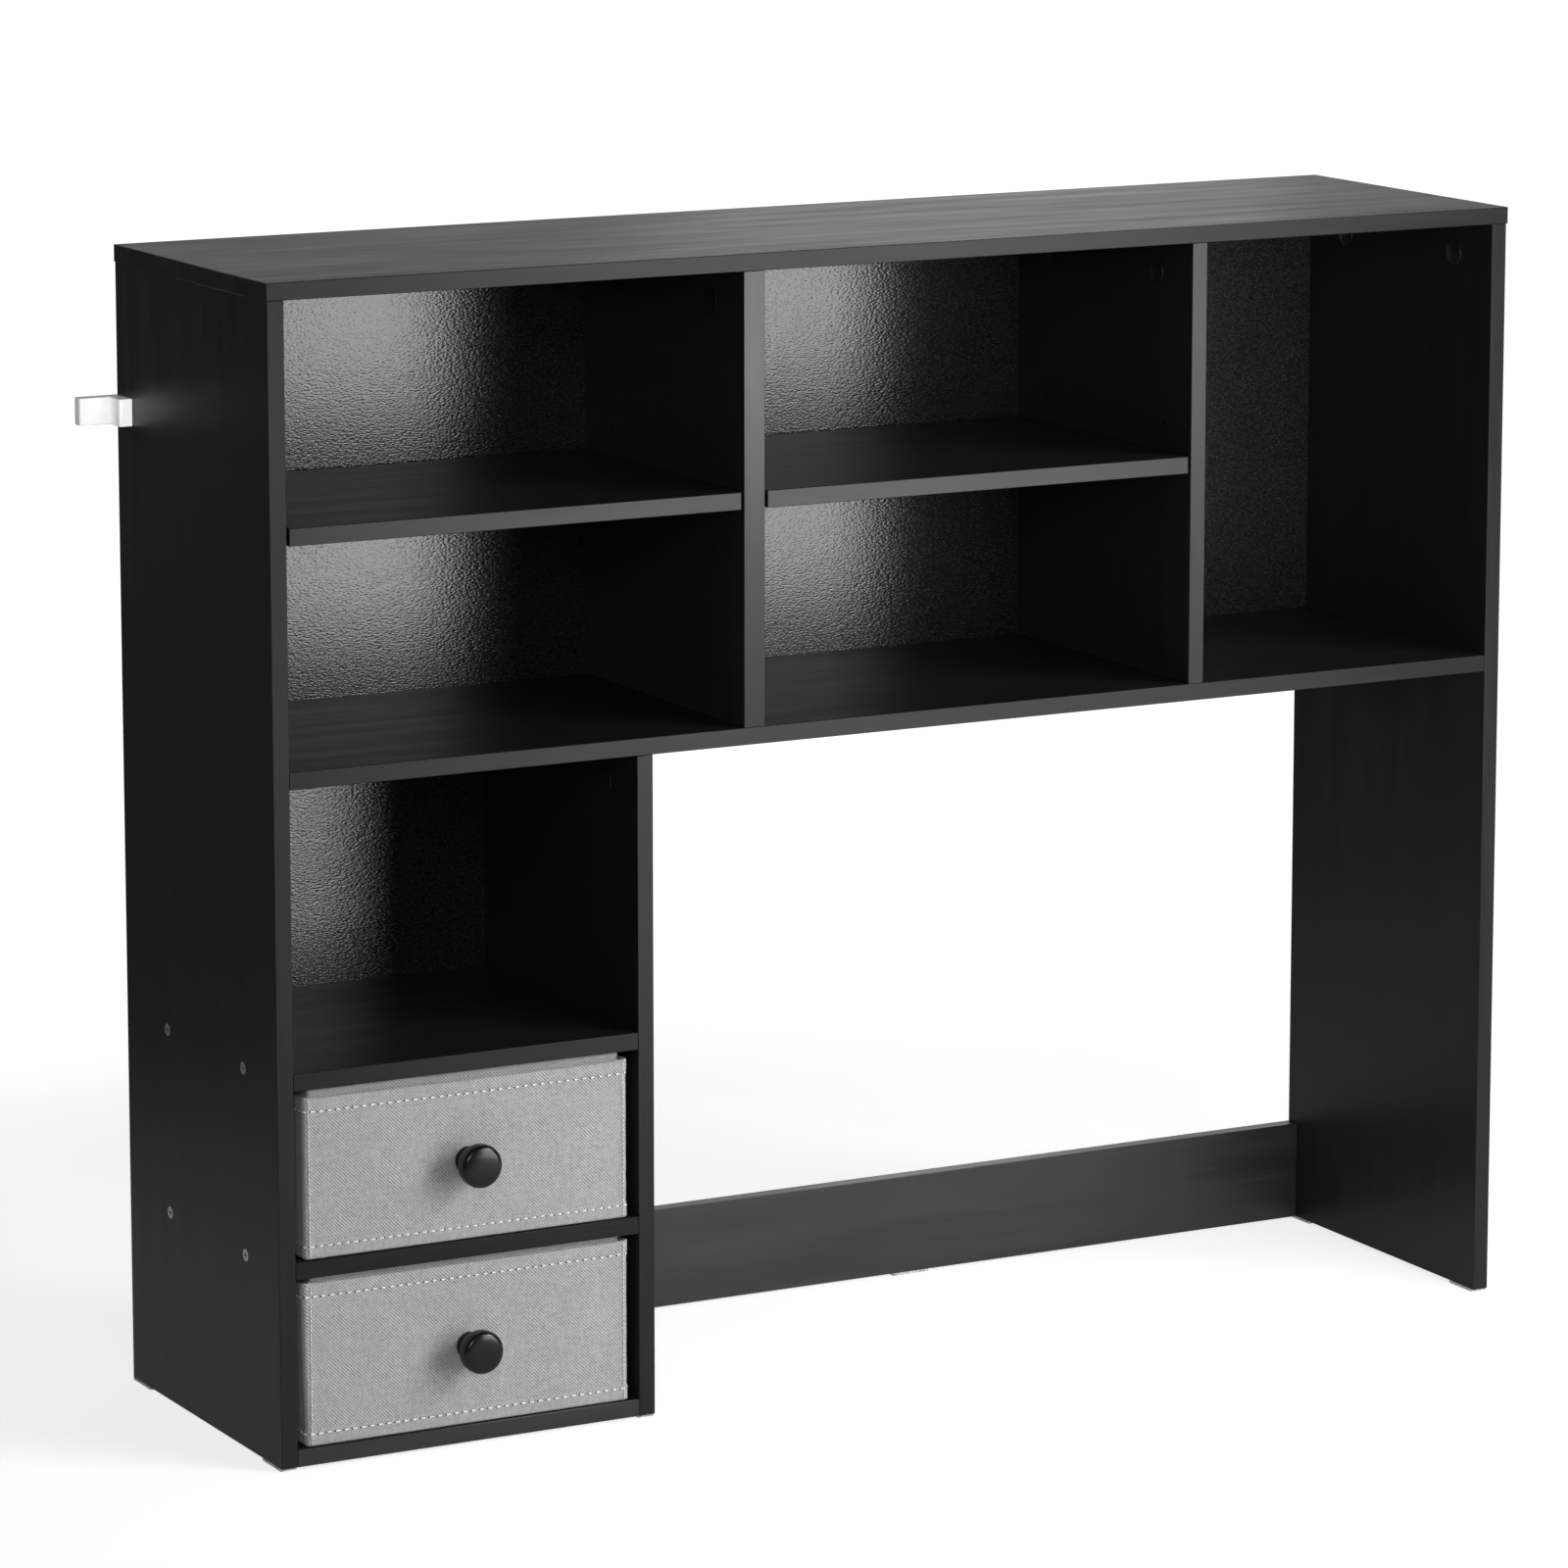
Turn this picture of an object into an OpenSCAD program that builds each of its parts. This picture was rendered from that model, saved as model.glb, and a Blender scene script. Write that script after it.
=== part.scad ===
// Desk hutch: a board carcass with open bays, two loose shelves, two fabric drawers
// and wall brackets. Millimetres, +Z up, front toward -Y, standing on z = 0.

/* [Overall] */
// Width across the outer faces of the side panels
overall_width = 968; // [860:4:1200]
// Height from the desk to the top face
overall_height = 800; // [680:4:960]
// Depth of the side panels, front edge to rear edge
overall_depth = 254; // [220:2:320]

/* [Boards] */
// Thickness of every board but the thick divider
board_t = 12; // [11:1:14]
// Thickness of the left divider of the upper row
thick_divider_t = 16; // [16:1:19]
// Thickness of the two back panels
back_t = 3; // [2.5:0.5:4]
// Distance from the front face of the back panels to the rear edge of the carcass
back_inset = 15; // [15:1:20]
// How far the top panel stands proud of the side panels and of their front edges
top_overhang = 0.8; // [0:0.2:4]
// How far a back panel enters its grooves
groove_entry = 4; // [3:0.5:5]
// Free depth of a groove beyond the panel
groove_spare = 0.3; // [0.1:0.1:1]
// Gap on each face of a back panel in its groove
groove_fit = 0.2; // [0.05:0.05:0.4]

/* [Compartments] */
// Clear width of the column with the drawers
column_width = 256.5; // [220:0.5:300]
// Clear width of each bay with a loose shelf
bay_width = 338.5; // [280:0.5:370]
// Clear height of the upper row
upper_row_height = 312.5; // [250:0.5:360]
// Clear height of each drawer slot
drawer_slot = 117; // [95:0.5:140]
// Height of the rear stretcher
stretcher_height = 73; // [60:1:120]

/* [Cam joints] */
// Radius of a cam lock
cam_r = 7.4; // [6:0.1:7.4]
// Gap between a cam lock and its bore
cam_fit = 0.1; // [0.05:0.05:0.3]
// Distance of a cam's centre from the board's edge
cam_setback = 25; // [24:0.5:30]
// How far a cam bore goes past the middle of its board
cam_past_middle = 3.5; // [3:0.5:3.5]
// Distance of the cams from the front edge and from the back panel
cam_inset = 48; // [44:1:52]
// Radius of a cam bolt's thread
bolt_r = 2.45; // [2:0.05:3]
// Depth of a cam bolt's thread in the mating board
bolt_depth = 9; // [7:0.5:9]
// Radius of the hole along which a cam bolt runs
bolt_way_r = 3.5; // [3.3:0.1:4]
// Radius of a cam cover cap
cap_r = 9; // [8:0.5:10]
// Thickness of a cam cover cap
cap_t = 0.8; // [0.6:0.1:1.5]

/* [Dowels and screws] */
// Radius of a dowel
dowel_r = 3; // [2.5:0.1:4]
// Depth of a dowel in the face of a board
dowel_in_face = 8; // [6:0.5:8]
// Depth of a dowel in the edge of a board
dowel_in_edge = 22; // [18:1:28]
// Gap around pins, dowels and threads in their holes
pin_fit = 0.05; // [0.02:0.01:0.1]
// Radius of a shelf screw's shank
screw_r = 2; // [1.6:0.1:2.5]
// Radius of a shelf screw's head
screw_head_r = 4.3; // [3.8:0.1:5]
// Length of a shelf screw
screw_length = 38; // [30:1:45]
// Distance of the shelf screws from the front edge and from the back panel
screw_inset = 55.5; // [53:0.5:57]
// Length of a back-panel screw
back_screw_length = 16; // [12:1:20]

/* [Loose shelves] */
// Radius of a shelf-pin hole
pin_hole_r = 2.5; // [2.5:0.05:3]
// Depth of a shelf-pin hole
pin_hole_depth = 7; // [5:0.5:7]
// Vertical distance between rows of pin holes
pin_pitch = 32; // [25:1:40]
// Distance of the front pin holes from the front edge
pin_front = 37; // [30:1:40]
// Distance of the rear pin holes from the rear edge of the carcass
pin_rear = 54; // [48:1:60]
// Reach of a shelf pin into its bay
pin_reach = 9; // [7:0.5:12]
// Gap at each end of a loose shelf
shelf_end_gap = 2; // [1.5:0.1:3]
// Gap between a loose shelf and the back panel
shelf_rear_gap = 3; // [1:0.5:8]

/* [Drawers] */
// Gap at each side of a drawer
drawer_side_gap = 7.75; // [4:0.25:12]
// Distance of a drawer's front behind the front edges
drawer_recess = 2; // [0:0.5:8]
// Gap behind a drawer
drawer_rear_gap = 9; // [4:0.5:15]
// Gap above a drawer
drawer_top_gap = 7; // [5:0.5:15]
// Gap under a drawer
slide_gap = 0.2; // [0.1:0.1:0.5]
// Radius of a drawer's upright corners
drawer_corner_r = 6; // [5.5:0.5:12]
// Thickness of the outer fabric
shell_t = 1.5; // [1:0.1:2]
// Thickness of the lining fabric
lining_t = 1.5; // [1:0.1:2]
// Thickness of the boards in a drawer's walls
wall_board_t = 2.5; // [2:0.1:4]
// Thickness of the board on a drawer's floor
floor_board_t = 3; // [2:0.1:5]
// Gap around the board on a drawer's floor
floor_fit = 0.1; // [0.1:0.1:1]
// How far the lining stands above the outer fabric
lining_rise = 4; // [0:0.5:5]
// How far the wall boards stop below the outer fabric's top
board_drop = 3; // [1:0.5:10]

/* [Knobs] */
// Radius of a knob's head
knob_r = 15; // [12:0.5:18]
// Projection of a knob
knob_projection = 26; // [20:0.5:32]
// Radius of a knob's base
knob_base_r = 9.5; // [8:0.5:11]
// Radius of a knob's neck
knob_neck_r = 6.5; // [5:0.5:8]
// Radius of a knob screw
knob_screw_r = 2; // [1.5:0.1:2.5]
// Depth of a knob screw in its knob
knob_screw_depth = 14; // [10:0.5:16]
// Radius of the washer inside a drawer
washer_r = 6; // [5.5:0.5:9]

/* [Feet] */
// Thickness of a foot pad
pad_t = 2; // [1:0.5:4]
// Length of a foot pad
pad_length = 30; // [20:1:40]

/* [Wall brackets] */
// Reach of a bracket cover out from the side panel
bracket_reach = 31.4; // [28:0.1:40]
// Reach of a bracket cover forward from the wall
bracket_forward = 27; // [24:0.5:40]
// Height of a bracket cover
bracket_height = 19; // [16:0.5:24]
// Depth of each leg of a bracket cover
bracket_leg = 9.75; // [9:0.25:12]
// Distance of a bracket's middle below the top panel
bracket_drop = 100.5; // [60:0.5:160]
// Wall thickness of a bracket cover
cover_wall = 1.5; // [1:0.1:2]
// Gap between a bracket plate and the sides of its cover
cover_fit = 0.1; // [0.05:0.05:0.3]
// Thickness of a bracket plate
plate_t = 3; // [2:0.5:3.5]
// Radius of the wall screw hole
wall_hole_r = 2.25; // [2:0.05:3]
// Distance of the wall screw hole from the side panel
wall_hole_out = 20; // [16:0.5:22]

/* [Hidden] */
$fn = 48;
eps = 0.1;
BLACK = [0.06, 0.06, 0.065];
EDGE = [0.1, 0.1, 0.105];
STEEL = [0.6, 0.6, 0.62];
ZINC = [0.55, 0.56, 0.58];
FABRIC = [0.62, 0.62, 0.62];
FIBRE = [0.5, 0.42, 0.33];
WOOD = [0.75, 0.62, 0.44];
WHITE = [0.9, 0.9, 0.89];
GREY = [0.7, 0.7, 0.7];

t = board_t;
inner_depth = overall_depth - back_inset;
front_y = (knob_projection - drawer_recess - overall_depth) / 2;
column_right = t + column_width;
thick_x = t + bay_width;
bay2_x = thick_x + thick_divider_t;
thin_x = bay2_x + bay_width;
right_x = overall_width - t;
top_z = overall_height - t;
row_z = top_z - upper_row_height;
mid_z = row_z - t;
floor_z = pad_t + t;
shelf_b_z = floor_z + drawer_slot;
shelf_a_z = shelf_b_z + t + drawer_slot;
pin_flat = 1;
pin_z = row_z + (upper_row_height - t) / 2 - pin_flat;
pin_rear_y = overall_depth - pin_rear;
groove_depth = groove_entry + groove_spare;
cam_rear = inner_depth - cam_inset;
screw_rear = inner_depth - screw_inset;
dowel_y = inner_depth / 2;
drawer_w = column_width - 2 * drawer_side_gap;
drawer_d = inner_depth - drawer_recess - drawer_rear_gap;
drawer_h = drawer_slot - drawer_top_gap;
lining_in = shell_t + wall_board_t;
wall_total = lining_in + lining_t;
lining_corner_r = 1.5;
bracket_z = top_z - bracket_drop;
plate_side = bracket_height - 2 * cover_wall - 2 * cover_fit;

// Turns that send +Z along the bolt or screw and +X out of the cam's face
UP_LEFT = [0, 0, 180];
UP_RIGHT = [0, 0, 0];
LEFT_UNDER = [180, 90, 0];
RIGHT_UNDER = [0, 90, 0];
LEFT_REAR = [-90, 0, 90];
RIGHT_REAR = [90, 0, 90];

// Cam joints: board with the cam, mating board, place, turn, thickness, capped
CAMS = [
    for (y = [cam_inset, cam_rear]) each [
        ["left_side_panel", "top_panel", [t / 2, y, top_z], UP_RIGHT, t, true],
        ["left_bay_divider", "top_panel", [thick_x + thick_divider_t / 2, y, top_z], UP_LEFT,
            thick_divider_t, true],
        ["right_bay_divider", "top_panel", [thin_x + t / 2, y, top_z], UP_LEFT, t, true],
        ["right_side_panel", "top_panel", [right_x + t / 2, y, top_z], UP_LEFT, t, true],
        ["lower_divider", "mid_shelf", [column_right + t / 2, y, mid_z], UP_LEFT, t, true],
        ["mid_shelf", "left_side_panel", [t, y, mid_z + t / 2], LEFT_UNDER, t, true],
        ["mid_shelf", "right_side_panel", [right_x, y, mid_z + t / 2], RIGHT_UNDER, t, true],
        ["bottom_board", "left_side_panel", [t, y, pad_t + t / 2], LEFT_UNDER, t, false],
        ["bottom_board", "lower_divider", [column_right, y, pad_t + t / 2], RIGHT_UNDER, t,
            false],
    ],
    ["back_stretcher", "lower_divider",
        [column_right + t, overall_depth - t / 2, pad_t + stretcher_height * 0.7],
        LEFT_REAR, t, false],
    ["back_stretcher", "right_side_panel",
        [right_x, overall_depth - t / 2, pad_t + stretcher_height * 0.7],
        RIGHT_REAR, t, false],
];

// Dowels: board with the edge hole, mating board, place, turn
DOWELS = [
    ["left_side_panel", "top_panel", [t / 2, dowel_y, top_z], UP_RIGHT],
    ["left_bay_divider", "top_panel", [thick_x + thick_divider_t / 2, dowel_y, top_z],
        UP_RIGHT],
    ["right_bay_divider", "top_panel", [thin_x + t / 2, dowel_y, top_z], UP_RIGHT],
    ["right_side_panel", "top_panel", [right_x + t / 2, dowel_y, top_z], UP_RIGHT],
    ["lower_divider", "mid_shelf", [column_right + t / 2, dowel_y, mid_z], UP_RIGHT],
    ["mid_shelf", "left_side_panel", [t, dowel_y, mid_z + t / 2], LEFT_UNDER],
    ["mid_shelf", "right_side_panel", [right_x, dowel_y, mid_z + t / 2], RIGHT_UNDER],
    ["bottom_board", "left_side_panel", [t, dowel_y, pad_t + t / 2], LEFT_UNDER],
    ["bottom_board", "lower_divider", [column_right, dowel_y, pad_t + t / 2], RIGHT_UNDER],
    ["back_stretcher", "lower_divider",
        [column_right + t, overall_depth - t / 2, pad_t + stretcher_height * 0.3], LEFT_UNDER],
    ["back_stretcher", "right_side_panel",
        [right_x, overall_depth - t / 2, pad_t + stretcher_height * 0.3], RIGHT_UNDER],
];

// Long screws: board under the head, board that takes the thread, place of the head, turn
SHELF_SCREWS = [
    for (y = [screw_inset, screw_rear]) for (s = [
        ["drawer_middle_shelf", shelf_b_z],
        ["drawer_top_shelf", shelf_a_z],
    ]) each [
        ["left_side_panel", s[0], [0, y, s[1] + t / 2], RIGHT_UNDER],
        ["lower_divider", s[0], [column_right + t, y, s[1] + t / 2], LEFT_UNDER],
    ]
];
DIVIDER_SCREWS = [
    for (y = [screw_inset, screw_rear]) each [
        ["mid_shelf", "left_bay_divider", [thick_x + thick_divider_t / 2, y, mid_z], UP_LEFT],
        ["mid_shelf", "right_bay_divider", [thin_x + t / 2, y, mid_z], UP_LEFT],
    ]
];

// Screws through the back panels
BACK_SCREWS = [
    for (z = [row_z + upper_row_height * 0.3, row_z + upper_row_height * 0.7]) each [
        ["upper_back_panel", "left_bay_divider", [thick_x + thick_divider_t / 2, z]],
        ["upper_back_panel", "right_bay_divider", [thin_x + t / 2, z]],
    ],
    ["lower_back_panel", "drawer_top_shelf", [t + column_width / 2, shelf_a_z + t / 2]],
    ["lower_back_panel", "drawer_middle_shelf", [t + column_width / 2, shelf_b_z + t / 2]],
];

// Rows of shelf-pin holes: board, x of its face, way into the bay
PIN_FACES = [
    ["left_side_panel", t, 1],
    ["left_bay_divider", thick_x, -1],
    ["left_bay_divider", bay2_x, 1],
    ["right_bay_divider", thin_x, -1],
];

// ---- helpers ----

module placed() translate([-overall_width / 2, front_y, 0]) children();

module at(place, turn) translate(place) rotate(turn) children();

module mirrored_right() translate([overall_width, 0, 0]) mirror([1, 0, 0]) children();

module block(x0, x1, y0, y1, z0, z1)
    translate([x0, y0, z0]) cube([x1 - x0, y1 - y0, z1 - z0]);

module rounded(w, d, r) {
    translate([r, 0]) square([w - 2 * r, d]);
    translate([0, r]) square([w, d - 2 * r]);
    for (x = [r, w - r]) for (y = [r, d - r]) translate([x, y]) circle(r = r);
}

module cam_void(thickness) {
    cylinder(h = bolt_depth + eps, r = bolt_r + pin_fit);
    translate([0, 0, -cam_setback]) cylinder(h = cam_setback + eps / 2, r = bolt_way_r);
    translate([-cam_past_middle, 0, -cam_setback]) rotate([0, 90, 0])
        cylinder(h = thickness / 2 + cam_past_middle + eps, r = cam_r + cam_fit);
}

module dowel_void() translate([0, 0, -dowel_in_edge - eps])
    cylinder(h = dowel_in_edge + dowel_in_face + 2 * eps, r = dowel_r + pin_fit);

module screw_body(g, length) {
    head = screw_head_r - screw_r;
    rotate_extrude() polygon([
        [0, -2 * g], [screw_head_r + g, -2 * g], [screw_head_r + g, 0.3],
        [screw_r + g, 0.3 + head], [screw_r + g, length - 3 + g], [0.4 + g, length + g],
        [0, length + g]]);
}

module cross_recess(w, deep) {
    translate([-w / 2, -w / 8, -eps]) cube([w, w / 4, deep + eps]);
    translate([-w / 8, -w / 2, -eps]) cube([w / 4, w, deep + eps]);
}

module long_screw() difference() {
    screw_body(0, screw_length);
    cross_recess(4.4, 1.8);
}

module back_screw_body(g, length) {
    translate([0, 0, -length]) cylinder(h = length + g, r = 1.5 + g);
}

module pin_holes(board) for (f = PIN_FACES) if (f[0] == board)
    for (y = [pin_front, pin_rear_y]) for (k = [-1, 0, 1])
        translate([f[1], y, pin_z + k * pin_pitch]) rotate([0, -90 * f[2], 0])
            translate([0, 0, -eps]) cylinder(h = pin_hole_depth + eps, r = pin_hole_r);

module drilled(board) difference() {
    children();
    for (c = CAMS) if (c[0] == board || c[1] == board) at(c[2], c[3]) cam_void(c[4]);
    for (d = DOWELS) if (d[0] == board || d[1] == board) at(d[2], d[3]) dowel_void();
    for (s = SHELF_SCREWS) if (s[0] == board || s[1] == board)
        at(s[2], s[3]) screw_body(pin_fit, screw_length);
    for (s = DIVIDER_SCREWS) if (s[0] == board || s[1] == board)
        at(s[2], s[3]) screw_body(pin_fit, screw_length);
    for (s = BACK_SCREWS) if (s[0] == board || s[1] == board)
        translate([s[2][0], inner_depth + back_t, s[2][1]]) rotate([-90, 0, 0])
            back_screw_body(pin_fit, back_screw_length);
    pin_holes(board);
}

module groove(x0, x1, z0, z1) block(x0, x1, inner_depth - groove_fit,
    inner_depth + back_t + groove_fit, z0, z1);

// ---- carcass boards ----

module top_panel() color(BLACK) placed() difference() {
    drilled("top_panel") block(-top_overhang, overall_width + top_overhang, -top_overhang,
        overall_depth, top_z, overall_height);
    groove(t - groove_depth, right_x + groove_depth, top_z - eps, top_z + groove_depth);
}

module left_side_panel() color(BLACK) placed() difference() {
    drilled("left_side_panel") block(0, t, 0, overall_depth, pad_t, top_z);
    groove(t - groove_depth, t + eps, pad_t - eps, top_z + eps);
    at([0, bracket_screw_y(), bracket_z], [0, 90, 0])
        cylinder(h = 10.5, r = 1.75 + pin_fit);
}

module right_side_panel() color(BLACK) placed() difference() {
    drilled("right_side_panel") block(right_x, overall_width, 0, overall_depth, pad_t, top_z);
    groove(right_x - eps, right_x + groove_depth, row_z - groove_depth, top_z + eps);
    mirrored_right() at([0, bracket_screw_y(), bracket_z], [0, 90, 0])
        cylinder(h = 10.5, r = 1.75 + pin_fit);
}

module mid_shelf() color(BLACK) placed() difference() {
    drilled("mid_shelf") block(t, right_x, 0, overall_depth, mid_z, row_z);
    groove(t - eps, right_x + eps, row_z - groove_depth, row_z + eps);
    groove(t - eps, column_right + groove_depth, mid_z - eps, mid_z + groove_depth);
}

module left_bay_divider() color(BLACK) placed() drilled("left_bay_divider")
    block(thick_x, bay2_x, 0, inner_depth, row_z, top_z);

module right_bay_divider() color(BLACK) placed() drilled("right_bay_divider")
    block(thin_x, thin_x + t, 0, inner_depth, row_z, top_z);

module lower_divider() color(BLACK) placed() difference() {
    drilled("lower_divider") block(column_right, column_right + t, 0, overall_depth, pad_t,
        mid_z);
    groove(column_right - eps, column_right + groove_depth, pad_t - eps, mid_z + eps);
}

module drawer_top_shelf() color(BLACK) placed() drilled("drawer_top_shelf")
    block(t, column_right, 0, inner_depth, shelf_a_z, shelf_a_z + t);

module drawer_middle_shelf() color(BLACK) placed() drilled("drawer_middle_shelf")
    block(t, column_right, 0, inner_depth, shelf_b_z, shelf_b_z + t);

module bottom_board() color(BLACK) placed() difference() {
    drilled("bottom_board") block(t, column_right, 0, overall_depth, pad_t, floor_z);
    groove(t - eps, column_right + eps, floor_z - groove_depth, floor_z + eps);
}

module back_stretcher() color(BLACK) placed() drilled("back_stretcher")
    block(column_right + t, right_x, overall_depth - t, overall_depth, pad_t,
        pad_t + stretcher_height);

module upper_back_panel() color(EDGE) placed() drilled("upper_back_panel")
    block(t - groove_entry, right_x + groove_entry, inner_depth, inner_depth + back_t,
        row_z - groove_entry, top_z + groove_entry);

module lower_back_panel() color(EDGE) placed() drilled("lower_back_panel")
    block(t - groove_entry, column_right + groove_entry, inner_depth, inner_depth + back_t,
        floor_z - groove_entry, mid_z + groove_entry);

// ---- fittings of the carcass ----

module cam_lock(thickness) {
    top = thickness / 2 - 0.3;
    difference() {
        translate([-cam_past_middle, 0, -cam_setback]) rotate([0, 90, 0])
            cylinder(h = top + cam_past_middle, r = cam_r);
        translate([0, 0, -cam_setback]) cylinder(h = cam_r + eps, r = bolt_way_r + 0.1);
        translate([top, 0, -cam_setback]) rotate([0, -90, 0]) cross_recess(8, 2.2);
    }
}

module cam_bolt() rotate_extrude() polygon([
    [0, bolt_depth], [bolt_r - 1, bolt_depth], [bolt_r, bolt_depth - 1], [bolt_r, 0],
    [bolt_way_r - 0.2, 0], [bolt_way_r - 0.2, -1.2], [bolt_r, -1.2],
    [bolt_r, 6 - cam_setback], [1.6, 5 - cam_setback], [1.6, 3.5 - cam_setback],
    [bolt_way_r - 0.3, 3 - cam_setback], [bolt_way_r - 0.3, 1 - cam_setback],
    [0, 0.5 - cam_setback]]);

module cover_cap() {
    cylinder(h = cap_t, r = cap_r);
    translate([0, 0, -2]) cylinder(h = 2, r = 0.9);
}

module cam_locks() color(ZINC) placed() for (c = CAMS) at(c[2], c[3]) cam_lock(c[4]);

module cam_bolts() color(STEEL) placed() for (c = CAMS) at(c[2], c[3]) cam_bolt();

module cam_cover_caps() color(BLACK) placed() for (c = CAMS) if (c[5]) at(c[2], c[3])
    translate([c[4] / 2, 0, -cam_setback]) rotate([0, 90, 0]) cover_cap();

module dowels() color(WOOD) placed() for (d = DOWELS) at(d[2], d[3]) rotate_extrude() polygon([
    [0, -dowel_in_edge], [dowel_r - 1, -dowel_in_edge], [dowel_r, 1 - dowel_in_edge],
    [dowel_r, dowel_in_face - 1], [dowel_r - 1, dowel_in_face], [0, dowel_in_face]]);

module shelf_screws() color(STEEL) placed() for (s = SHELF_SCREWS) at(s[2], s[3]) long_screw();

module divider_screws() color(STEEL) placed() for (s = DIVIDER_SCREWS) at(s[2], s[3])
    long_screw();

module back_panel_screws() color(STEEL) placed() for (s = BACK_SCREWS)
    translate([s[2][0], inner_depth + back_t, s[2][1]]) rotate([-90, 0, 0]) difference() {
        union() {
            translate([0, 0, -back_screw_length]) cylinder(h = back_screw_length, r = 1.5);
            cylinder(h = 2, r = 3.5);
        }
        translate([0, 0, 2]) mirror([0, 0, 1]) cross_recess(3.6, 1.2);
    }

module shelf_pin() {
    cut = [4 * pin_hole_r, 4 * pin_hole_r, 4 * pin_reach];
    difference() {
        union() {
            translate([0, 0, 0.5 - pin_hole_depth])
                cylinder(h = pin_hole_depth - 0.5 + pin_reach, r = pin_hole_r - pin_fit);
            translate([0, -4, 1]) cube([3, 8, pin_reach - 1]);
        }
        translate([-4 * pin_hole_r - pin_flat, -2 * pin_hole_r, 0]) cube(cut);
    }
    cylinder(h = 1, r = 3.6);
}

// The pin's flat faces up once its axis lies along X
module pins(first) color(STEEL) placed() for (f = [PIN_FACES[first], PIN_FACES[first + 1]])
    for (y = [pin_front, pin_rear_y]) translate([f[1], y, pin_z])
        rotate([0, 90 * f[2], 0]) mirror([f[2] > 0 ? 0 : 1, 0, 0]) shelf_pin();

module left_shelf_pins() pins(0);

module middle_shelf_pins() pins(2);

module pad(x, y) block(x, x + t, y, y + pad_length, 0, pad_t);

module foot_pads() color(GREY) placed() {
    for (x = [0, column_right, right_x])
        for (y = [2, overall_depth - pad_length]) pad(x, y);
    block((column_right + t + right_x) / 2 - pad_length / 2,
        (column_right + t + right_x) / 2 + pad_length / 2, overall_depth - t,
        overall_depth, 0, pad_t);
}

// ---- wall brackets ----

function bracket_screw_y() = overall_depth - bracket_forward + 9;

module cover_plan(inset, r) intersection() {
    union() {
        translate([inset - bracket_leg, overall_depth - bracket_forward + inset])
            rounded(bracket_leg + 4, bracket_forward + 4, r);
        translate([inset - bracket_reach, overall_depth - bracket_leg + inset])
            rounded(bracket_reach + 4, bracket_leg + 4, r);
    }
    translate([-2 * bracket_reach, overall_depth - 2 * bracket_forward])
        square([2 * bracket_reach, 2 * bracket_forward]);
}

module bracket_cover() translate([0, 0, bracket_z - bracket_height / 2]) difference() {
    linear_extrude(bracket_height) cover_plan(0, 2);
    translate([eps, eps, cover_wall]) linear_extrude(bracket_height - 2 * cover_wall)
        cover_plan(cover_wall, 0.5);
}

module bracket_plate() difference() {
    translate([0, 0, bracket_z - plate_side / 2]) linear_extrude(plate_side) union() {
        translate([-plate_t, overall_depth - bracket_forward + cover_wall + 0.5])
            square([plate_t, bracket_forward - cover_wall - 0.5]);
        translate([cover_wall + 0.5 - bracket_reach, overall_depth - plate_t])
            square([bracket_reach - cover_wall - 0.5, plate_t]);
    }
    translate([-wall_hole_out, overall_depth + eps, bracket_z]) rotate([90, 0, 0])
        cylinder(h = plate_t + 2 * eps, r = wall_hole_r);
    at([-plate_t - eps, bracket_screw_y(), bracket_z], [0, 90, 0])
        cylinder(h = plate_t + 2 * eps, r = 1.75 + pin_fit);
}

module bracket_screw() at([-plate_t, bracket_screw_y(), bracket_z], [0, 90, 0]) difference() {
    union() {
        cylinder(h = plate_t + 10, r = 1.75);
        translate([0, 0, -2.2]) cylinder(h = 2.2, r = 3.6);
    }
    translate([0, 0, -2.2]) cross_recess(4, 1.4);
}

module left_wall_bracket() color(STEEL) placed() bracket_plate();

module left_bracket_cover() color(WHITE) placed() bracket_cover();

module right_wall_bracket() color(STEEL) placed() mirrored_right() bracket_plate();

module right_bracket_cover() color(WHITE) placed() mirrored_right() bracket_cover();

module bracket_screws() color(STEEL) placed() {
    bracket_screw();
    mirrored_right() bracket_screw();
}

// ---- loose shelves ----

module loose_shelf(x0) color(BLACK) placed() block(x0 + shelf_end_gap,
    x0 + bay_width - shelf_end_gap, 0, inner_depth - shelf_rear_gap, pin_z + pin_flat,
    pin_z + pin_flat + t);

module left_adjustable_shelf() loose_shelf(t);

module middle_adjustable_shelf() loose_shelf(bay2_x);

// ---- drawers ----

module in_slot(shelf_top) placed() translate([t + drawer_side_gap, drawer_recess,
    shelf_top + slide_gap]) children();

module knob_way(shift, length, r) translate([drawer_w / 2, shift, drawer_h / 2])
    rotate([-90, 0, 0]) cylinder(h = length, r = r);

module shell() difference() {
    linear_extrude(drawer_h) rounded(drawer_w, drawer_d, drawer_corner_r);
    translate([shell_t, shell_t, shell_t]) linear_extrude(drawer_h)
        rounded(drawer_w - 2 * shell_t, drawer_d - 2 * shell_t, drawer_corner_r - shell_t);
    knob_way(-eps, shell_t + 2 * eps, knob_screw_r + pin_fit);
}

module wall_boards() {
    top = drawer_h - board_drop;
    far = drawer_d - lining_in;
    c = drawer_corner_r;
    difference() {
        block(c, drawer_w - c, shell_t, lining_in, shell_t, top);
        knob_way(0, lining_in + eps, knob_screw_r + pin_fit);
    }
    block(c, drawer_w - c, far, far + wall_board_t, shell_t, top);
    block(shell_t, lining_in, c, drawer_d - c, shell_t, top);
    block(drawer_w - lining_in, drawer_w - shell_t, c, drawer_d - c, shell_t, top);
}

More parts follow.
